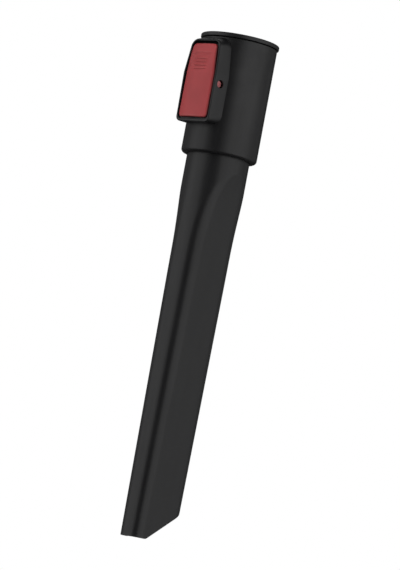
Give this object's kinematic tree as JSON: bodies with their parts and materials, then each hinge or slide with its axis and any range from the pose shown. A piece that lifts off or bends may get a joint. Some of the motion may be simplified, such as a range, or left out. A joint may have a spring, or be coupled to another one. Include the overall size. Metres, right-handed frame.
{
  "type": "vacuum crevice tool",
  "caption": "Long flattened crevice nozzle in a round socket collar, with a sprung release lever that latches onto a vacuum's spigot.",
  "frame": {"origin": "centre of the socket's mouth, in the plane of the lip's top face", "axes": "+Z out of the mouth along the socket's axis, with the nozzle hanging along -Z; +X towards the release lever; +Y square to both"},
  "size_m": [0.0491, 0.0432, 0.276],
  "materials": {
    "nozzle_plastic": "fine matt black plastic",
    "collar_plastic": "fine matt black plastic",
    "seal_rubber": "matt black elastomer",
    "lever_plastic": "satin red plastic",
    "spring_steel": "bright drawn wire"
  },
  "bodies": {
    "tool": {"nozzle": "nozzle_plastic", "collar": "collar_plastic", "mouth_sleeve": "collar_plastic", "socket_seal": "seal_rubber", "nozzle_gasket": "seal_rubber", "return_spring": "spring_steel"},
    "lever": {"release_lever": "lever_plastic", "pivot_pin": "lever_plastic"}
  },
  "joints": [
    {"name": "lever_press", "type": "hinge", "parent": "tool", "child": "lever", "pos_m": [0.0217, 0, -0.0294], "axis": [0, -1, 0], "range_deg": [0, 8], "stiffness_Nm_per_rad": 0.12, "springref_deg": -17.19, "deforming": ["return_spring"]}
  ]
}
